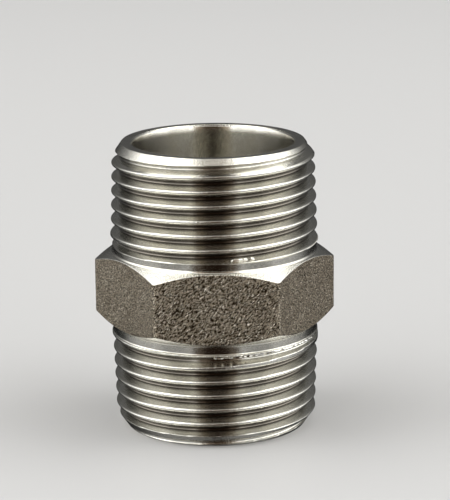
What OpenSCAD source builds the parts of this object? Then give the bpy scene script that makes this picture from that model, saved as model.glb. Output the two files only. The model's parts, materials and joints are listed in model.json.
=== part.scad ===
// Hex nipple for pipework: a hexagonal collar with a taper pipe thread, R 1, on
// each end and one bore right through. The real fitting is a single piece of
// steel; the nodes are its three machining zones and meet face to face.
// The origin is the middle of the fitting on the bore axis, +Z runs along the
// bore, and two flats of the hexagon face -Y and +Y.

/* [Whole fitting] */
// Length from end face to end face
overall_len = 46.5; // [45:0.1:60]
// Diameter of the bore
bore_d = 26; // [20:0.5:27]
// Width and height of the chamfer at each mouth of the bore
bore_chamfer = 0.3; // [0.1:0.1:0.4]

/* [Hexagonal collar] */
// Width across the flats
hex_af = 33.8; // [33.6:0.1:41]
// Height at the middle of a flat
hex_height = 11.4; // [8:0.1:13]
// Offset of the collar's middle from the fitting's middle
hex_shift = -0.35; // [-1:0.05:1]
// Slope of the turned chamfers, in degrees from the end plane
hex_chamfer = 30; // [20:1:35]
// How far the six upright corners are turned off, towards the axis
corner_cut = 0.12; // [0.05:0.01:0.5]

/* [Neck] */
// Diameter of the plain neck between collar and thread
neck_d = 33; // [32:0.1:33.2]
// Length of the plain neck
neck_len = 1.3; // [0.8:0.1:3]

/* [Thread] */
// Major diameter at the gauge plane
thread_d = 33.249; // [33.1:0.001:33.5]
// Distance of the gauge plane from the end face
gauge_len = 10.391; // [9:0.001:12.7]
// Threads per inch
threads_per_inch = 11; // [11, 11.5]
// Angle between the flanks, in degrees
thread_angle = 55; // [55, 60]
// Azimuth at which the upper thread's first crest leaves the collar
upper_start = 91; // [0:1:359]
// The same for the lower thread, counted as seen from its own end
lower_start = 242; // [0:1:359]
// Height above the collar at which the upper groove begins
upper_groove = 0.7; // [0.5:0.1:3]
// Height above the collar at which the lower groove begins
lower_groove = 1.4; // [0.5:0.1:3]
// Part of a turn over which a groove reaches its full depth, in degrees
run_out = 220; // [90:10:360]

/* [End chamfer] */
// Outer diameter of the flat ring at each end
end_face_d = 29.4; // [28:0.1:30]
// Slope of the chamfer, in degrees from the bore axis
end_chamfer = 35; // [25:1:45]

/* [Hidden] */

inch = 25.4;
taper = 1 / 32; // on the radius, which is 1 in 16 on the diameter
cast_colour = [0.46, 0.42, 0.36];
turned_colour = [0.78, 0.77, 0.71];
$fn = 96;

// Collar: the chamfer cones run out to the corners from the neck's edge
neck_r = neck_d / 2;
hex_d = hex_af / cos(30); // across the sharp corners
corner_r = hex_d / 2 - corner_cut;
collar_half = hex_height / 2 + (hex_af / 2 - neck_r) * tan(hex_chamfer);
collar_top = hex_shift + collar_half;
collar_bottom = hex_shift - collar_half;
upper_len = overall_len / 2 - collar_top;
lower_len = overall_len / 2 + collar_bottom;

// Thread form: sharp V of height sharp_h, flat at the root and at the crest
pitch = inch / threads_per_inch;
half_angle = thread_angle / 2;
sharp_h = pitch / 2 / tan(half_angle);
thread_depth = sharp_h * 2 / 3;
root_flat = pitch / 6;
flank_run = (pitch - root_flat) / 2;

// Helical surface of the thread: columns round the axis, three rows to a pitch
columns = 48;
row_height = [0, flank_run, flank_run + root_flat];
row_rise = [sharp_h / 6, -thread_depth, -thread_depth];
rows = len(row_height);
turns_below = 2; // turns of the helix that lie below the collar's end plane
tool_clear = thread_depth + 0.3; // the tool's lift that leaves the blank uncut

// Radius of the thread's crests at height z on a threaded end of length len
function crest_r(z, len) = thread_d / 2 + (len - gauge_len - z) * taper;

function smooth(t) = let (c = min(1, max(0, t))) c * c * (3 - 2 * c);

// How far the tool has backed out of the groove, along degrees after its start
function tool_lift(along) = tool_clear * (1 - smooth(along / run_out));

// Angle along the helix at which the groove's middle is at height z
function groove_angle(z) = 360 * (z / pitch + turns_below - 0.5);

function thread_point(j, row, len, groove) =
    let (
        angle = 360 * j / columns,
        z = pitch * (angle / 360 - turns_below) + row_height[row],
        lift = tool_lift(angle - groove_angle(groove)),
        r = crest_r(z, len) + row_rise[row] + lift
    )
    [r * cos(angle), r * sin(angle), z];

// A long rod with the thread's surface, which the turned blank is cut down to.
// The surface is one strip, a pitch wide, wound up the axis: the strip's upper
// edge in column j is the lower edge of the next turn, in column j + columns.
module threaded_rod(len, groove) {
    steps = columns * (ceil(len / pitch) + turns_below + 1);
    last = steps + columns;
    function id(j, row) =
        row == rows ? id(j + columns, 0)
        : j <= steps ? j * rows + row
        : (steps + 1) * (rows - 1) + j;
    points = concat(
        [for (j = [0:steps], row = [0:rows - 1]) thread_point(j, row, len, groove)],
        [for (j = [steps + 1:last]) thread_point(j, 0, len, groove)],
        [[0, 0, -turns_below * pitch], [0, 0, len + 3 * pitch]]
    );
    foot = len(points) - 2;
    tip = len(points) - 1;
    faces = concat(
        [for (j = [0:steps - 1], row = [0:rows - 1])
            [id(j, row), id(j, row + 1), id(j + 1, row + 1), id(j + 1, row)]],
        [for (j = [0:columns - 1]) [foot, id(j, 0), id(j + 1, 0)]],
        [for (row = [0:rows - 1]) [foot, id(0, row + 1), id(0, row)]],
        [for (j = [steps:last - 1]) [tip, id(j + 1, 0), id(j, 0)]],
        [for (row = [0:rows - 1]) [tip, id(steps, row), id(steps, row + 1)]]
    );
    polyhedron(points, faces, convexity = 20);
}

// The turned blank of a threaded end: neck, step, taper, chamfer, end face, bore
module turned_blank(len) {
    step_top = neck_len + crest_r(neck_len, len) - neck_r;
    chamfer_foot = len - (crest_r(len, len) - end_face_d / 2) / tan(end_chamfer);
    rotate_extrude()
        polygon([
            [bore_d / 2, 0],
            [neck_r, 0],
            [neck_r, neck_len],
            [crest_r(step_top, len), step_top],
            [crest_r(chamfer_foot, len), chamfer_foot],
            [end_face_d / 2, len],
            [bore_d / 2 + bore_chamfer, len],
            [bore_d / 2, len - bore_chamfer]
        ]);
}

module threaded_end(len, start, groove) {
    rotate(start)
        intersection() {
            turned_blank(len);
            threaded_rod(len, groove);
        }
}

// What the lathe leaves of the collar: end faces, chamfer cones, corners, bore
module collar_blank() {
    edge_z = collar_half - (corner_r - neck_r) * tan(hex_chamfer);
    rotate_extrude()
        polygon([
            [bore_d / 2, -collar_half],
            [neck_r, -collar_half],
            [corner_r, -edge_z],
            [corner_r, edge_z],
            [neck_r, collar_half],
            [bore_d / 2, collar_half]
        ]);
}

// The hexagon has a corner on the X axis
module hex_collar() {
    color(cast_colour)
        translate([0, 0, hex_shift])
            intersection() {
                cylinder(d = hex_d, h = 2 * collar_half, center = true, $fn = 6);
                collar_blank();
            }
}

module upper_thread() {
    color(turned_colour)
        translate([0, 0, collar_top])
            threaded_end(upper_len, upper_start, upper_groove);
}

module lower_thread() {
    color(turned_colour)
        translate([0, 0, collar_bottom])
            rotate([180, 0, 0])
                threaded_end(lower_len, lower_start, lower_groove);
}

hex_collar();
upper_thread();
lower_thread();
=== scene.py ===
"""The looks of a hex nipple with an R 1 taper thread on each end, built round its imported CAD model.

Lengths are in millimetres unless a comment says metres, and each mesh is scaled to metres as it is
made. Angles round the axis are in degrees, and slopes in radians. Each threaded end is made
upright, with its foot on the collar at z = 0, and then put in its place.
"""

import json
import math

import bpy
import numpy as np
from mathutils import Matrix, Vector, noise


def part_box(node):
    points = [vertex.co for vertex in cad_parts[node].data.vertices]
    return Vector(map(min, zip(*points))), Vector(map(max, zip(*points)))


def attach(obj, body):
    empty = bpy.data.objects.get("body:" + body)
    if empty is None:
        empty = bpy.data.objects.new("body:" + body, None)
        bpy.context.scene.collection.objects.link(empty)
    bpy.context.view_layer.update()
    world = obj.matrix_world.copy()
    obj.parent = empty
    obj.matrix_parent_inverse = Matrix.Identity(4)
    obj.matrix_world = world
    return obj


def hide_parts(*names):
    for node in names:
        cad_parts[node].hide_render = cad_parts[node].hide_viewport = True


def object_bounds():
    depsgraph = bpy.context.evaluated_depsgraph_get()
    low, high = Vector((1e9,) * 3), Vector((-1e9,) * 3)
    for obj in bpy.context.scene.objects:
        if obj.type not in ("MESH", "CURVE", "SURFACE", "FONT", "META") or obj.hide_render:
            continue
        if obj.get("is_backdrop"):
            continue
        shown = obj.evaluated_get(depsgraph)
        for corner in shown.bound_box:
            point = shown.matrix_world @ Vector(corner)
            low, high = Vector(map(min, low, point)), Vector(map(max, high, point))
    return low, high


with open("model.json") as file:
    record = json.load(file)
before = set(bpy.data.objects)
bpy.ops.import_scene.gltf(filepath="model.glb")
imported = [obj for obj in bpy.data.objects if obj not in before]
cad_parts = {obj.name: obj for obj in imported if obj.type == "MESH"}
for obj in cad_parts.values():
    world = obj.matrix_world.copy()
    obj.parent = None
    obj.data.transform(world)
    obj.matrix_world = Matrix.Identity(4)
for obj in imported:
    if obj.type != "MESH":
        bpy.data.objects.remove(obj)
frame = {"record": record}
cad_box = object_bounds()

MM = 0.001  # metres in a millimetre


def mm(corner):
    return [value / MM for value in corner]


# ---------------------------------------------------------------- sizes from the frame
FITTING_LOW, FITTING_HIGH = (mm(corner) for corner in cad_box)
COLLAR_LOW, COLLAR_HIGH = (mm(corner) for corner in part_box("hex_collar"))
BORE_R = next(
    mount["dims"]["r_mm"] for mount in frame["record"]["mounts"] if mount["name"] == "through_bore"
)
APOTHEM = COLLAR_HIGH[1]
COLLAR_TOP = COLLAR_HIGH[2]
COLLAR_BOTTOM = COLLAR_LOW[2]
UPPER_LEN = FITTING_HIGH[2] - COLLAR_TOP
LOWER_LEN = COLLAR_BOTTOM - FITTING_LOW[2]

# ---------------------------------------------------------------- sizes of the details
PITCH = 25.4 / 11
HALF_ANGLE = math.radians(27.5)  # between a flank and the end plane
THREAD_DEPTH = 0.640327 * PITCH
ROUNDING = 0.137329 * PITCH  # radius of the crests and the roots
GAUGE_R = 33.249 / 2  # nominal crest radius at the gauge plane
GAUGE_LEN = 10.391  # from the end face to the gauge plane
TAPER = 1 / 32  # on the radius
CREST_WEAR = 0.08  # how far the crests stay under their nominal radius
NECK_R = 33 / 2
NECK_LEN = 1.3
NECK_ROUND = 0.12  # how softly the neck turns into the step up to the thread
BLANK_ROUND = 0.08  # how softly step, taper and end chamfer meet
CUT_ROUND = 0.06  # how softly the thread's cut meets the blank
TOOL_CLEAR = THREAD_DEPTH + 0.3  # the tool's lift that leaves the blank uncut
RUN_OUT = 220  # degrees over which a groove reaches its full depth
FACE_R = 29.4 / 2  # outer radius of the flat end face
END_CHAMFER = math.radians(35)  # from the axis
EDGE_R = 0.1  # rounding of the end face's outer edge
BORE_CHAMFER = 0.3
HEX_CHAMFER = math.radians(30)  # from the end plane
CHAMFER_ROUND = 0.1  # how far the edge between chamfer and flat is rounded
CORNER_R = 0.9  # rounding of the hexagon's upright corners
NECK_FILLET = 0.5

BURR_ABOVE = 0.66  # distance of the torn edge from the crest beside it, along the axis
BURR_WIDTH = 0.09
BURR_TURNS = (90, 260)  # the part of the helix that the torn edge belongs to
BURR_SIZE = 0.37  # size of the burr's teeth

# Azimuth at which the first crest leaves the collar, seen from the thread's own end; height at
# which the groove begins; first azimuth, last azimuth and height of the torn edge
UPPER_START, UPPER_GROOVE, UPPER_TORN = 91, 0.7, (281, 289, 0.2)
LOWER_START, LOWER_GROOVE, LOWER_TORN = 242, 1.4, (20, 90, 0.5)

# ---------------------------------------------------------------- fineness of the meshes
THREAD_COLUMNS = 360
LEVEL_STEP = 0.079  # between the level rings on the neck and the end chamfer
ROWS_PER_TURN = 28
BORE_RINGS = 17
SEAM = 0.03  # the bore's last row, so narrow that the hidden faces don't tint the wall's shading
GRAIN_STEP = 0.16  # between the points of the cast flats


# ---------------------------------------------------------------- mesh helpers
def smooth(t):
    """A step from 0 to 1, with no corners."""
    t = np.clip(t, 0, 1)
    return t * t * (3 - 2 * t)


def softer_min(a, b, width):
    """The lower of a and b, with the edge between them rounded over width."""
    t = np.clip(0.5 + 0.5 * (b - a) / width, 0, 1)
    return b + (a - b) * t - width * t * (1 - t) * 0.5


def field(points, size, seed):
    """Smooth noise, about -1 to 1, whose bumps are size millimetres across."""
    shift = Vector((seed * 17.3, seed * 5.1, seed * 9.7))
    return np.array([noise.noise(Vector(p) / size + shift) for p in points])


def grid_faces(ids):
    """Quads between neighbouring rows of ids, whose columns join up, the last to the first."""
    right = np.roll(ids, -1, axis=1)
    corners = np.stack([ids[:-1], right[:-1], right[1:], ids[1:]], axis=-1)
    return corners.reshape(-1, 4).tolist()


def make_piece(name, points, faces, materials, material_of_face, place=Matrix(), normals=None):
    """A piece from points in millimetres. Where normals is zero, they come from the faces."""
    mesh = bpy.data.meshes.new(name)
    mesh.from_pydata(points.tolist(), [], faces)
    mesh.transform(Matrix.Scale(MM, 4) @ place)
    for material in materials:
        mesh.materials.append(material)
    mesh.polygons.foreach_set("material_index", material_of_face)
    mesh.shade_smooth()
    if normals is not None:
        turned = normals @ np.array(place.to_3x3()).T
        mesh.normals_split_custom_set_from_vertices(turned.tolist())
    mesh.update()
    piece = bpy.data.objects.new(name, mesh)
    bpy.context.scene.collection.objects.link(piece)
    return piece


def arc(centre, radius, first, last, count):
    """count + 1 points (r, z) on an arc from angle first to angle last."""
    turns = [math.radians(first + (last - first) * k / count) for k in range(count + 1)]
    return [(centre[0] + radius * math.cos(t), centre[1] + radius * math.sin(t)) for t in turns]


# ---------------------------------------------------------------- threaded ends
def crest_radius(z, length):
    return GAUGE_R + (length - GAUGE_LEN - z) * TAPER


def thread_form(across):
    """Height of the rounded 55 degree form over its crest, at distance across from the crest."""
    slope = 1 / math.tan(HALF_ANGLE)
    arc_reach = ROUNDING * math.cos(HALF_ANGLE)
    arc_drop = ROUNDING * (1 - math.sin(HALF_ANGLE))
    from_root = PITCH / 2 - across
    crest = np.sqrt(np.maximum(ROUNDING**2 - np.minimum(across, arc_reach) ** 2, 0)) - ROUNDING
    root = ROUNDING - np.sqrt(np.maximum(ROUNDING**2 - np.minimum(from_root, arc_reach) ** 2, 0))
    flank = -arc_drop - (across - arc_reach) * slope
    form = np.where(across < arc_reach, crest, flank)
    return np.where(from_root < arc_reach, root - THREAD_DEPTH, form)


def turned_radius(z, length):
    """Radius of the blank before the thread is cut: neck, step, taper and end chamfer."""
    taper = crest_radius(z, length)
    step = NECK_R + (z - NECK_LEN)
    neck = np.maximum(NECK_R, -softer_min(-NECK_R, -step, NECK_ROUND))
    chamfer = FACE_R + (length - z) * math.tan(END_CHAMFER)
    return softer_min(softer_min(neck, taper, BLANK_ROUND), chamfer, BLANK_ROUND)


def outer_radius(angle, z, length, start, groove, rag):
    """Radius of a threaded end's outer surface. Where rag is over 0, a burr stands out by it."""
    # Where each point lies on the helix: turn is counted in degrees, from a crest
    local = angle - start
    turn = local + 360 * np.floor(z / PITCH - local / 360)
    above_crest = z - PITCH * turn / 360
    across = np.minimum(above_crest, PITCH - above_crest)
    along = turn + 180 - 360 * groove / PITCH
    lift = TOOL_CLEAR * (1 - smooth(along / RUN_OUT))
    cut = crest_radius(z, length) - CREST_WEAR + thread_form(across) + lift
    blank = turned_radius(z, length)
    surface = softer_min(cut, blank, CUT_ROUND)

    # The first groove's edge towards the collar is torn into a ragged burr over part of a turn
    first, last = BURR_TURNS
    at_edge = np.exp(-(((above_crest - BURR_ABOVE) / BURR_WIDTH) ** 2)) * (turn > first) * (turn < last)
    return surface + at_edge * np.where(rag > 0, blank - surface + rag, 0)


def outer_normals(angle, z, shape):
    """Exact normals of the outer surface, as the rows are too coarse to shade the crests well."""
    step_z, step_angle = 0.01, 0.1
    radius = outer_radius(angle, z, *shape)
    above, below = (outer_radius(angle, z + side * step_z, *shape) for side in (1, -1))
    ahead, behind = (outer_radius(angle + side * step_angle, z, *shape) for side in (1, -1))
    slope = (above - below) / (2 * step_z)
    swing = (ahead - behind) / (2 * math.radians(step_angle) * radius)
    cos, sin = np.cos(np.radians(angle)), np.sin(np.radians(angle))
    normals = np.stack([cos + swing * sin, sin - swing * cos, -slope], axis=-1)
    return normals / np.linalg.norm(normals, axis=-1, keepdims=True)


def row_phases():
    """Where the rows of a turn lie, as shares of the pitch: closer on the crest and the root."""
    samples, closer = 2001, 2.2
    share = np.linspace(0, 1, samples)
    across = np.minimum(share, 1 - share) * PITCH
    curved = (across < ROUNDING) | (PITCH / 2 - across < ROUNDING)
    count = np.cumsum(np.where(curved, closer, 1.0))
    count = (count - count[0]) / (count[-1] - count[0])
    return np.interp(np.arange(ROWS_PER_TURN) / ROWS_PER_TURN, count, share)


def climbing_heights(climbed, foot, head):
    """For each column, the heights of its rows between foot and head, and its lowest row's number."""
    gap = 0.01  # a row nearer to a level ring than this is left out
    turns = np.arange(math.floor(foot / PITCH) - 1, math.ceil(head / PITCH) + 1)
    base = (turns[:, None] + row_phases()[None, :]).ravel() * PITCH
    line_z, lowest = [], []
    for climb in climbed:
        z = base + climb * PITCH
        inside = np.nonzero((z > foot + gap) & (z < head - gap))[0]
        lowest.append(inside[0])
        line_z.append(z[inside])
    return line_z, lowest


def helical_rows(angles, start, foot, head):
    """Rows that climb with the thread, between the level rings at heights foot and head.

    Returns each point's angle and height, and the faces. Faces count the points from 0, and name
    the points of the ring at foot as -1 - column and those at head as -1 - columns - column.
    """
    columns = len(angles)
    climbed = ((angles - start) % 360) / 360
    line_z, lowest = climbing_heights(climbed, foot, head)
    offsets = np.concatenate([[0], np.cumsum([len(z) for z in line_z])])
    faces = []
    for j in range(columns):
        k = (j + 1) % columns
        seam = ROWS_PER_TURN if climbed[k] < climbed[j] else 0  # the next column starts a turn lower
        low_j, low_k = lowest[j], lowest[k] - seam
        high_j, high_k = low_j + len(line_z[j]) - 1, low_k + len(line_z[k]) - 1
        at_j, at_k = offsets[j] - low_j, offsets[k] - low_k
        foot_j, foot_k, head_j, head_k = -1 - j, -1 - k, -1 - columns - j, -1 - columns - k
        faces += [(at_j + m, at_k + m, at_k + m + 1, at_j + m + 1) for m in range(low_j, high_k)]
        rising = [foot_k] + [at_k + m for m in range(low_k, low_j)]
        faces += [(foot_j, a, b) for a, b in zip(rising, rising[1:])]
        faces.append((foot_j, rising[-1], at_k + low_j, at_j + low_j))
        ending = [at_j + m for m in range(high_k + 1, high_j + 1)] + [head_j]
        faces.append((at_j + high_k, at_k + high_k, head_k, ending[0]))
        faces += [(head_k, b, a) for a, b in zip(ending, ending[1:])]
    return np.repeat(angles, [len(z) for z in line_z]), np.concatenate(line_z), faces


def on_axis(radius, angle, z):
    turn = np.radians(angle)
    return np.stack([radius * np.cos(turn), radius * np.sin(turn), z], axis=-1).reshape(-1, 3)


def torn_edge(angles, torn):
    """How far the burr stands out at each angle: ragged, and only between the torn angles."""
    first, last, height = torn
    fade = 6  # degrees over which the burr begins and ends
    filled = 0.35  # over 0, so that teeth take up more than half of the edge
    seed = 3
    middle, half = (first + last) / 2, (last - first) / 2
    off = np.abs((angles - middle + 180) % 360 - 180)
    reach = smooth((half - off) / fade + 0.5)
    turns = [math.radians(angle) for angle in angles]
    ring = [(NECK_R * math.cos(turn), NECK_R * math.sin(turn), 0) for turn in turns]
    return height * reach * np.maximum(field(ring, BURR_SIZE, seed) + filled, 0)


def inner_profile(length):
    """Points (r, z) over the end face and down the bore to the collar, and the rows bored bright."""
    face_edge = FACE_R - EDGE_R * math.tan((math.pi / 2 - END_CHAMFER) / 2)
    mouth_r = BORE_R + BORE_CHAMFER
    edge_steps = 4
    edge = arc((face_edge, length - EDGE_R), EDGE_R, math.degrees(END_CHAMFER), 90, edge_steps)[1:]
    face = [(face_edge + (mouth_r - face_edge) * share, length) for share in (0.3, 0.6, 0.93)]
    mouth = [(mouth_r - BORE_CHAMFER * share, length - BORE_CHAMFER * share)
             for share in (0.06, 0.35, 0.65, 0.94)]
    wall_top = length - 1.1 * BORE_CHAMFER
    wall_z = [*np.linspace(wall_top, SEAM, BORE_RINGS), 0]
    wall = [(BORE_R, z) for z in wall_z]
    profile = np.array(edge + face + mouth + wall)
    bored = np.zeros(len(profile), dtype=int)
    bored[len(edge) - 1 : len(edge) + len(face)] = 1
    bored[-len(wall) : -1] = 1
    return profile, bored


def level_rings(angles, length, foot, head, shape):
    """End chamfer, end face, bore and neck, as rings from head round to foot.

    Returns the points, their normals (zero where the faces give them), the faces, the material of
    each face, and the numbers of the points in the rings at foot and at head.
    """
    profile, bored = inner_profile(length)
    edge_turn = math.pi / 2 - END_CHAMFER
    last_z = length - EDGE_R * math.tan(edge_turn / 2) * math.cos(END_CHAMFER)
    chamfer_z = np.linspace(head, last_z, round((last_z - head) / LEVEL_STEP))
    neck_z = np.linspace(0, foot, round(foot / LEVEL_STEP))
    rows_z = np.concatenate([chamfer_z, profile[:, 1], neck_z])
    angle, z = np.meshgrid(angles, rows_z)
    inner = slice(len(chamfer_z), len(chamfer_z) + len(profile))

    radius = outer_radius(angle, z, *shape)
    radius[inner] = profile[:, :1]
    normals = np.zeros((*radius.shape, 3))
    # The chamfer's last row and the neck's first lie on edges, so they stay at zero
    for rows in (slice(0, inner.start - 1), slice(inner.stop + 1, None)):
        normals[rows] = outer_normals(angle[rows], z[rows], shape)
    finish = np.zeros(len(rows_z), dtype=int)
    finish[inner] = bored
    ids = np.arange(radius.size).reshape(radius.shape)
    points = on_axis(radius, angle, z)
    face_finish = np.repeat(finish[:-1], len(angles))
    return points, normals.reshape(-1, 3), grid_faces(ids), face_finish, (ids[-1], ids[0])


def threaded_end(name, length, start, groove, torn, place, materials):
    """A neck, a taper thread that runs out at it, an end chamfer, an end face and the bore.

    The materials are the turned one and the bored one.
    """
    angles = np.arange(THREAD_COLUMNS) * 360 / THREAD_COLUMNS
    chamfer_foot = length - (crest_radius(length, length) - FACE_R) / math.tan(END_CHAMFER)
    foot = NECK_LEN - 0.1  # the rows that climb with the thread begin just below its step
    head = chamfer_foot - 0.25  # and end just below the end chamfer
    rag = torn_edge(angles, torn)
    points, normals, faces, finish, seams = level_rings(
        angles, length, foot, head, (length, start, groove, rag)
    )

    angle, z, climbing = helical_rows(angles, start, foot, head)
    rag_here = rag[np.round(angle * THREAD_COLUMNS / 360).astype(int)]
    shape = (length, start, groove, rag_here)
    radius = outer_radius(angle, z, *shape)
    thread_normals = outer_normals(angle, z, shape)
    unburred = outer_radius(angle, z, length, start, groove, 0 * rag_here)
    torn_metal = radius - unburred > 0.01
    thread_normals[torn_metal] = 0

    seam_ids, level_count = np.concatenate(seams), len(points)
    faces += [
        tuple(int(i + level_count if i >= 0 else seam_ids[-1 - i]) for i in face) for face in climbing
    ]
    points = np.concatenate([points, on_axis(radius, angle, z)])
    normals = np.concatenate([normals, thread_normals])
    finish = np.concatenate([finish, np.zeros(len(climbing), dtype=int)])
    return make_piece(name, points, faces, materials, finish, place, normals)


# ---------------------------------------------------------------- hexagonal collar
def hexagon_outline():
    """Points round the hexagon with round corners, a corner on the X axis, and their normals."""
    centre = (APOTHEM - CORNER_R) / math.cos(math.radians(30))
    corner_steps = 6
    half_flat = (APOTHEM - CORNER_R) * math.tan(math.radians(30))
    flat_steps = round(2 * half_flat / GRAIN_STEP)
    points, normals = [], []
    for corner in range(0, 360, 60):
        c = math.radians(corner)
        for k in range(corner_steps):
            t = math.radians(corner - 30 + 60 * k / corner_steps)
            points.append((centre * math.cos(c) + CORNER_R * math.cos(t),
                           centre * math.sin(c) + CORNER_R * math.sin(t)))
            normals.append((math.cos(t), math.sin(t)))
        t = math.radians(corner + 30)
        for k in range(flat_steps):
            side = half_flat * (2 * k / flat_steps - 1)
            points.append((APOTHEM * math.cos(t) - side * math.sin(t),
                           APOTHEM * math.sin(t) + side * math.cos(t)))
            normals.append((math.cos(t), math.sin(t)))
    return np.array(points), np.array(normals)


def upper_chamfer(ring, reach, half):
    """Rings from the neck over a fillet and down the upper chamfer, and the flats' edge height."""
    slope = math.tan(HEX_CHAMFER)
    turn = math.pi / 2 - HEX_CHAMFER  # between the neck and the chamfer
    centre = (NECK_R + NECK_FILLET, half + NECK_FILLET * math.tan(turn / 2))
    fillet_steps = 5
    fillet = arc(centre, NECK_FILLET, 180, 180 + math.degrees(turn), fillet_steps)
    rings = [ring(NECK_R + 0 * reach, half)]
    rings += [ring(r + 0 * reach, z) for r, z in fillet]
    foot_r = fillet[-1][0]
    cone_steps = 8
    for k in range(1, cone_steps + 1):
        r = foot_r + (reach - CHAMFER_ROUND - foot_r) * k / cone_steps
        rings.append(ring(r, half - (r - NECK_R) * slope))
    edge = half - (reach - NECK_R) * slope
    rings.append(ring(reach - 0.3 * CHAMFER_ROUND, edge - 0.25 * CHAMFER_ROUND))
    return np.array(rings), edge


def cast_flats(outline, normals, edge):
    """The flats from upper to lower edge, with the grain of the casting pushed in."""
    rows = round(2 * edge.max() / GRAIN_STEP)
    levels = np.linspace(1, -1, rows)[:, None] * (edge - CHAMFER_ROUND)[None, :]
    flats = np.stack([np.broadcast_to(outline[:, 0], levels.shape),
                      np.broadcast_to(outline[:, 1], levels.shape), levels], axis=-1).copy()
    points = flats.reshape(-1, 3)
    grain = sum(depth * field(points, size, seed)
                for depth, size, seed in ((0.02, 0.30, 1), (0.01, 0.6, 2), (0.03, 4, 5)))
    blasted = 0.015  # bumps are cut flat at this height, which then lies on the CAD's flat
    grain = np.minimum(grain, blasted) - blasted
    flats[:, :, :2] += grain.reshape(levels.shape)[:, :, None] * normals[None, :, :]
    return flats


def collar(name, materials):
    """The collar with cast flats, turned chamfers and a small fillet up to each neck.

    The materials are the turned, the cast and the bored one.
    """
    outline, normals = hexagon_outline()
    reach = np.hypot(outline[:, 0], outline[:, 1])
    ray = outline / reach[:, None]
    half = (COLLAR_TOP - COLLAR_BOTTOM) / 2
    middle = (COLLAR_TOP + COLLAR_BOTTOM) / 2

    def ring(radius, height):
        return np.stack([ray[:, 0] * radius, ray[:, 1] * radius, height + 0 * radius], axis=-1)

    upper, edge = upper_chamfer(ring, reach, half)
    lower = upper[::-1].copy()
    lower[:, :, 2] *= -1
    flats = cast_flats(outline, normals, edge)
    bore_z = (-half, SEAM - half, half - SEAM, half)
    bore = np.array([ring(BORE_R + 0 * reach, z) for z in bore_z])

    rings = np.concatenate([upper, flats, lower, bore])
    rings[:, :, 2] += middle
    finish = np.zeros(len(rings), dtype=int)
    finish[len(upper) - 1 : len(upper) + len(flats)] = 1
    finish[-len(bore) : -1] = 2
    ids = np.arange(rings.shape[0] * rings.shape[1]).reshape(rings.shape[:2])
    faces = grid_faces(np.concatenate([ids, ids[:1]])[:, ::-1])
    face_finish = np.repeat(finish, rings.shape[1])
    return make_piece(name, rings.reshape(-1, 3), faces, materials, face_finish)


# ---------------------------------------------------------------- nodes
def colour_socket(sockets, name):
    return next(socket for socket in sockets if socket.name == name and socket.type == "RGBA")


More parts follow.
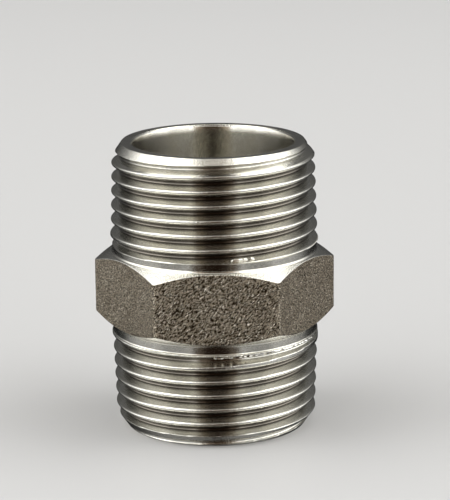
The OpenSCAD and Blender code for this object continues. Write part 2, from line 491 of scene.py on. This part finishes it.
class Nodes:
    """Short names for building a tree of nodes. Values are sockets, numbers or colours."""

    def __init__(self, tree):
        self.tree = tree

    def add(self, kind, **settings):
        node = self.tree.nodes.new(kind)
        for key, value in settings.items():
            setattr(node, key, value)
        return node

    def put(self, value, socket):
        """Links value to socket, or sets it there if it is a constant."""
        if isinstance(value, bpy.types.NodeSocket):
            self.tree.links.new(value, socket)
        elif socket.type == "RGBA":
            socket.default_value = (*value, 1)
        else:
            socket.default_value = value

    def math(self, operation, a, b=None):
        node = self.add("ShaderNodeMath", operation=operation)
        self.put(a, node.inputs[0])
        if b is not None:
            self.put(b, node.inputs[1])
        return node.outputs[0]

    def blend(self, a, b, share):
        """The sum of a and b, with the given share of b."""
        return self.math("ADD", self.math("MULTIPLY", a, 1 - share), self.math("MULTIPLY", b, share))

    def noise(self, vector, size, detail=2.0, w=None):
        """Noise, 0 to 1, of features about size millimetres across."""
        node = self.add("ShaderNodeTexNoise", noise_dimensions="3D" if w is None else "4D")
        self.put(1 / (size * MM), node.inputs["Scale"])
        self.put(detail, node.inputs["Detail"])
        self.put(vector, node.inputs["Vector"])
        if w is not None:
            self.put(w, node.inputs["W"])
        return node.outputs["Fac"]

    def scaled(self, value, low, high, from_low=0.3, from_high=0.7):
        """Low to high, as value goes from from_low to from_high, and no further."""
        node = self.add("ShaderNodeMapRange")
        self.put(from_low, node.inputs["From Min"])
        self.put(from_high, node.inputs["From Max"])
        self.put(low, node.inputs["To Min"])
        self.put(high, node.inputs["To Max"])
        self.put(value, node.inputs["Value"])
        return node.outputs["Result"]

    def mix(self, factor, a, b, blend_type="MIX"):
        node = self.add("ShaderNodeMix", data_type="RGBA", blend_type=blend_type)
        self.put(factor, node.inputs["Factor"])
        self.put(a, colour_socket(node.inputs, "A"))
        self.put(b, colour_socket(node.inputs, "B"))
        return colour_socket(node.outputs, "Result")

    def ramp(self, value, stops):
        """A colour ramp over value, from stops of position and grey level or colour."""
        node = self.add("ShaderNodeValToRGB")
        self.put(value, node.inputs["Fac"])
        elements = node.color_ramp.elements
        while len(elements) < len(stops):
            elements.new(1)
        for element, (position, colour) in zip(elements, stops):
            element.position = position
            element.color = (*colour, 1) if isinstance(colour, tuple) else (colour, colour, colour, 1)
        return node.outputs["Color"]

    def bump(self, height, depth, strength=1.0, under=None):
        """A bump of depth millimetres, on top of the bump under."""
        node = self.add("ShaderNodeBump")
        self.put(strength, node.inputs["Strength"])
        self.put(depth * MM, node.inputs["Distance"])
        self.put(height, node.inputs["Height"])
        if under is not None:
            self.put(under, node.inputs["Normal"])
        return node.outputs["Normal"]

    def slanted(self, vector, angle, stretch):
        """Coordinates in which noise is stretched along a line that climbs towards +X at angle."""
        node = self.add("ShaderNodeMapping", vector_type="TEXTURE")
        self.put((0, math.radians(-angle), 0), node.inputs["Rotation"])
        self.put((stretch, 1, 1), node.inputs["Scale"])
        self.put(vector, node.inputs["Vector"])
        return node.outputs["Vector"]

    def place(self):
        """The point on the surface, in metres, and its x, y, z and distance from the axis."""
        point = self.add("ShaderNodeTexCoord").outputs["Object"]
        split = self.add("ShaderNodeSeparateXYZ")
        self.put(point, split.inputs["Vector"])
        x, y, z = split.outputs
        squares = self.math("ADD", self.math("MULTIPLY", x, x), self.math("MULTIPLY", y, y))
        return point, x, y, z, self.math("SQRT", squares)

    def turning_lines(self, x, y, z, r, lead=0.0):
        """Noise drawn out into lines round the axis, fine and broad, that climb by lead in a turn."""
        stretch = 0.012  # a turning line is this many times as wide as it is long
        fine, broad = 0.10, 0.4
        turns = self.math("MULTIPLY", self.math("ARCTAN2", x, self.math("MULTIPLY", y, -1.0)),
                          0.5 / math.pi)
        level = self.math("SUBTRACT", z, self.math("MULTIPLY", turns, lead * MM))
        lines_at = self.add("ShaderNodeCombineXYZ")
        for socket, value in enumerate((r, level, self.math("MULTIPLY", x, stretch))):
            self.put(value, lines_at.inputs[socket])
        return [
            self.noise(lines_at.outputs[0], size, detail,
                       w=self.math("MULTIPLY", y, stretch / (size * MM)))
            for size, detail in ((fine, 3.0), (broad, 2.0))
        ]


class Finish(Nodes):
    """A material with one shader."""

    def __init__(self, name):
        self.material = bpy.data.materials.new(name)
        self.material.use_nodes = True
        super().__init__(self.material.node_tree)
        self.tree.nodes.clear()
        self.shader = self.add("ShaderNodeBsdfPrincipled")
        output = self.add("ShaderNodeOutputMaterial")
        self.put(self.shader.outputs["BSDF"], output.inputs["Surface"])

    def metal(self, colour, roughness, normal):
        """Sets up the shader as metal, and returns the material."""
        self.put(1.0, self.shader.inputs["Metallic"])
        self.put(colour, self.shader.inputs["Base Color"])
        self.put(roughness, self.shader.inputs["Roughness"])
        self.put(normal, self.shader.inputs["Normal"])
        return self.material

    def brushed_round(self, amount):
        """Highlights drawn out along the axis, as lines round it scatter light across themselves."""
        self.put(amount, self.shader.inputs["Anisotropic"])
        self.put(0.25, self.shader.inputs["Anisotropic Rotation"])
        tangent = self.add("ShaderNodeTangent", direction_type="RADIAL", axis="Z")
        self.put(tangent.outputs["Tangent"], self.shader.inputs["Tangent"])


# ---------------------------------------------------------------- materials
def turned_steel():
    """Turned stainless steel: fine lines round the axis, roots darkened with painted shade and dirt,
    brighter worn crests.
    """
    dull, clear = (0.72, 0.70, 0.625), (0.80, 0.785, 0.715)
    # The roots' dark colour is painted shade in the thread's recesses, together with dirt
    root_shade_and_dirt, worn = (0.085, 0.068, 0.052), (0.84, 0.825, 0.765)
    shade_and_dirt_from, shade_and_dirt_to, shade_and_dirt_share = 1.10 * MM, 1.36 * MM, 0.85  # depths under the crests
    worn_to, worn_share = 0.10 * MM, 0.6
    end_from, end_to = 1.6 * MM, 2.4 * MM  # distances from the end at which the thread begins

    n = Finish("turned_steel")
    point, x, y, z, r = n.place()
    lines, bands = n.turning_lines(x, y, z, r, PITCH)
    specks = n.noise(point, 0.22, 2.0)
    stains = n.noise(point, 5.0, 3.0)

    # How deep the surface lies under the crests of its thread, and how far from its end
    end_z = FITTING_HIGH[2] * MM
    from_middle = n.math("ABSOLUTE", z)
    rise = n.math("MULTIPLY", n.math("SUBTRACT", end_z - GAUGE_LEN * MM, from_middle), TAPER)
    depth = n.math("SUBTRACT", n.math("ADD", rise, (GAUGE_R - CREST_WEAR) * MM), r)
    inward = n.math("SUBTRACT", end_z, from_middle)
    # Where painted shade and dirt darken the roots: deep under the crests, and away from the end
    root = n.math("MULTIPLY", n.scaled(depth, 0.0, shade_and_dirt_share, shade_and_dirt_from, shade_and_dirt_to),
                  n.scaled(inward, 0.0, 1.0, end_from, end_to))
    crest = n.scaled(depth, 1.0, 0.0, 0.0, worn_to)

    colour = n.mix(n.scaled(stains, 0.0, 1.0), dull, clear)
    # Painted shade and dirt darken the thread's roots
    colour = n.mix(root, colour, root_shade_and_dirt)
    colour = n.mix(n.math("MULTIPLY", crest, worn_share), colour, worn)
    rough = n.math("ADD", n.scaled(lines, 0.12, 0.20), n.scaled(bands, -0.03, 0.04))
    rough = n.math("ADD", rough, n.scaled(specks, -0.02, 0.05))
    chatter = n.math("MAXIMUM", crest, n.scaled(inward, 0.7, 0.0, end_from, end_to))
    sparkle = n.math("MULTIPLY", n.noise(point, 0.2, 2.0), chatter)
    normal = n.bump(sparkle, 0.08, 0.7, under=n.bump(lines, 0.004, 0.6))
    n.brushed_round(0.85)
    return n.metal(colour, rough, normal)


def bored_steel():
    """The bore's wall: the boring tool's fine rings scatter light along the axis."""
    dull, clear = (0.67, 0.65, 0.58), (0.85, 0.83, 0.76)
    n = Finish("bored_steel")
    point, x, y, z, r = n.place()
    lines, bands = n.turning_lines(x, y, z, r)
    shade = n.blend(bands, n.noise(point, 3.0, 3.0), 0.4)
    colour = n.mix(n.scaled(shade, 0.0, 1.0, 0.4, 0.6), dull, clear)
    rough = n.math("ADD", n.scaled(lines, 0.12, 0.20), n.scaled(bands, -0.03, 0.03))
    n.brushed_round(0.96)
    return n.metal(colour, rough, n.bump(lines, 0.004, 0.6))


def cast_steel():
    """Blasted casting: a fine leathery grain, its pits darkened partly by their own colour and partly
    by painted shade, with small glints on its bumps.
    """
    # The pits' dark colour is partly the grain's own and partly painted shade
    pit_colour_and_shade, brown, grey, glinting = (
        (0.03, 0.021, 0.012), (0.40, 0.335, 0.245), (0.52, 0.445, 0.335), (0.92, 0.86, 0.72)
    )
    n = Finish("cast_steel")
    point = n.place()[0]
    slanted = n.slanted(point, 42, 3.5)
    height = n.blend(n.noise(slanted, 0.115, 1.5), n.noise(slanted, 0.20, 2.0), 0.25)
    bright = n.scaled(height, 0.0, 1.0, 0.46, 0.54)
    glint = n.scaled(n.noise(slanted, 0.14, 1.0), 0.0, 1.0, 0.55, 0.63)
    patches = n.scaled(n.noise(point, 4.0, 3.0), 0.0, 1.0)
    # Low spots of the grain get the dark pit colour: grain colour and painted shade
    colour = n.mix(bright, pit_colour_and_shade, n.mix(glint, n.mix(patches, brown, grey), glinting))
    rough = n.math("SUBTRACT", n.scaled(bright, 0.50, 0.36, 0.0, 1.0), n.math("MULTIPLY", glint, 0.14))
    return n.metal(colour, rough, n.bump(height, 0.20, 1.0))


def pale_floor():
    n = Finish("pale_floor")
    n.put((0.55, 0.55, 0.55), n.shader.inputs["Base Color"])
    n.put(0.5, n.shader.inputs["Roughness"])
    return n.material


# ---------------------------------------------------------------- studio
HEADING = Matrix.Rotation(math.radians(-1.1), 4, "Z")  # the studio and camera, turned as one
WARM_WHITE = (1.0, 0.99, 0.95)


def overhead_box(name, middle, spin, width, length, radiance):
    """A soft box that faces down, in metres: x to the camera's right, y away from it, z up."""
    light = bpy.data.lights.new(name, "AREA")
    light.shape = "RECTANGLE"
    light.size, light.size_y = width, length
    light.energy = radiance * math.pi * width * length
    light.color = WARM_WHITE
    lamp = bpy.data.objects.new(name, light)
    turn = Matrix.Rotation(math.radians(spin), 4, "Z")
    lamp.matrix_world = HEADING @ Matrix.Translation(middle) @ turn
    lamp.visible_camera = False
    bpy.context.scene.collection.objects.link(lamp)


def lay_floor():
    """A pale floor that the metal doesn't mirror, and that doesn't shade the light from below."""
    half, low = 2.0, cad_box[0].z  # metres
    corners = [(x * half, y * half, low) for x, y in ((-1, -1), (1, -1), (1, 1), (-1, 1))]
    mesh = bpy.data.meshes.new("floor")
    mesh.from_pydata(corners, [], [(0, 1, 2, 3)])
    mesh.materials.append(pale_floor())
    floor = bpy.data.objects.new("floor", mesh)
    floor.visible_glossy = False
    floor.visible_shadow = False
    bpy.context.scene.collection.objects.link(floor)
    floor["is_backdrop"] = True


def lights():
    """Two soft boxes overhead with a gap between them, and a dim one over the gap's front."""
    above, half_gap, wide, long, yaw, radiance = 0.75, 0.193, 0.40, 1.2, 20.9, 2.2
    for name, side in (("left_top", -1), ("right_top", 1)):
        along = Matrix.Rotation(math.radians(side * yaw), 3, "Z") @ Vector((side, 0, 0))
        middle = Vector((side * half_gap, 0, above)) + along * wide / 2
        overhead_box(name, middle, side * yaw, wide, long, radiance)
    front_y, front_long, front_radiance = -0.5, 0.4, 0.7
    overhead_box("front_top", (0, front_y, above), 0, 2 * half_gap, front_long, front_radiance)


def surroundings():
    """A soft tent: dark behind the camera, bright on both sides and fading towards the back."""
    strength = 3.0
    dark, strip = (0.022, 0.013, 0.008), (0.15, 0.12, 0.095)
    # Stops of share round the fitting, 0 towards the camera and 1 away from it
    sides = [(0.0, dark), (0.075, dark), (0.088, strip), (0.142, strip), (0.155, 0.8), (0.175, 0.8),
             (0.19, 0.55), (0.34, 0.55), (0.38, 0.9), (0.54, 0.85), (0.64, 0.5), (0.71, 0.12),
             (0.84, 0.04), (1.0, 0.03)]
    # Stops of height, 0 straight down, 0.5 at the horizon and 1 straight up
    heights = [(0.0, 0.1), (0.12, 0.24), (0.27, 0.24), (0.34, 0.13), (0.41, 0.1), (0.46, 0.18),
               (0.5, 0.85), (0.75, 1.0), (0.88, 0.9), (0.97, 0.1)]

    world = bpy.data.worlds.new("studio")
    world.use_nodes = True
    n = Nodes(world.node_tree)
    split = n.add("ShaderNodeSeparateXYZ")
    n.put(n.add("ShaderNodeTexCoord").outputs["Generated"], split.inputs["Vector"])
    x, y, z = split.outputs
    round_by = n.math("ARCTAN2", n.math("ABSOLUTE", x), n.math("MULTIPLY", y, -1.0))
    by_side = n.ramp(n.math("DIVIDE", round_by, math.pi), sides)
    by_height = n.ramp(n.math("ADD", n.math("MULTIPLY", z, 0.5), 0.5), heights)
    background = n.tree.nodes["Background"]
    n.put(n.mix(1.0, by_side, by_height, "MULTIPLY"), background.inputs["Color"])
    n.put(strength, background.inputs["Strength"])
    return world


def camera():
    """The photograph's camera, fitted to the outlines of the fitting in it."""
    roll, tilt = math.radians(-0.65), math.radians(14.2)
    distance, aim_x, aim_z = 357, 1.73, FITTING_LOW[2] + 28.35
    focal_length = 158.7
    near, far = 0.02, 20  # metres
    out = Vector((0, -math.cos(tilt), math.sin(tilt)))
    up = Vector((0, math.sin(tilt), math.cos(tilt)))
    right = Vector((1, 0, 0))
    rolled_right = right * math.cos(roll) + up * math.sin(roll)
    rolled_up = up * math.cos(roll) - right * math.sin(roll)
    axes = Matrix((rolled_right, rolled_up, out)).transposed().to_4x4()
    spot = Matrix.Translation((Vector((aim_x, 0, aim_z)) + out * distance) * MM)
    data = bpy.data.cameras.new("camera")
    data.lens = focal_length
    data.clip_start, data.clip_end = near, far
    eye = bpy.data.objects.new("camera", data)
    eye.matrix_world = HEADING @ spot @ axes
    bpy.context.scene.collection.objects.link(eye)
    bpy.context.scene.camera = eye


# ---------------------------------------------------------------- the fitting
TURNED, BORED, CAST = turned_steel(), bored_steel(), cast_steel()
AT_TOP = Matrix.Translation((0, 0, COLLAR_TOP))
AT_BOTTOM = Matrix.Translation((0, 0, COLLAR_BOTTOM)) @ Matrix.Rotation(math.pi, 4, "X")

hexagon = collar("collar", [TURNED, CAST, BORED])
upper_end = threaded_end("thread_upper", UPPER_LEN, UPPER_START, UPPER_GROOVE, UPPER_TORN,
                         AT_TOP, [TURNED, BORED])
lower_end = threaded_end("thread_lower", LOWER_LEN, LOWER_START, LOWER_GROOVE, LOWER_TORN,
                         AT_BOTTOM, [TURNED, BORED])
for piece, node, slot in (
    (hexagon, "hex_collar", "cast_steel"),
    (upper_end, "upper_thread", "turned_steel"),
    (lower_end, "lower_thread", "turned_steel"),
):
    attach(piece, "root")
    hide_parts(node)

lay_floor()
bpy.context.scene.world = surroundings()
lights()
camera()
bpy.context.scene.view_settings.view_transform = "Standard"

boxes = {"cad": cad_box, "visual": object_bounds()}
{name: [list(corner) for corner in box] for name, box in boxes.items()}
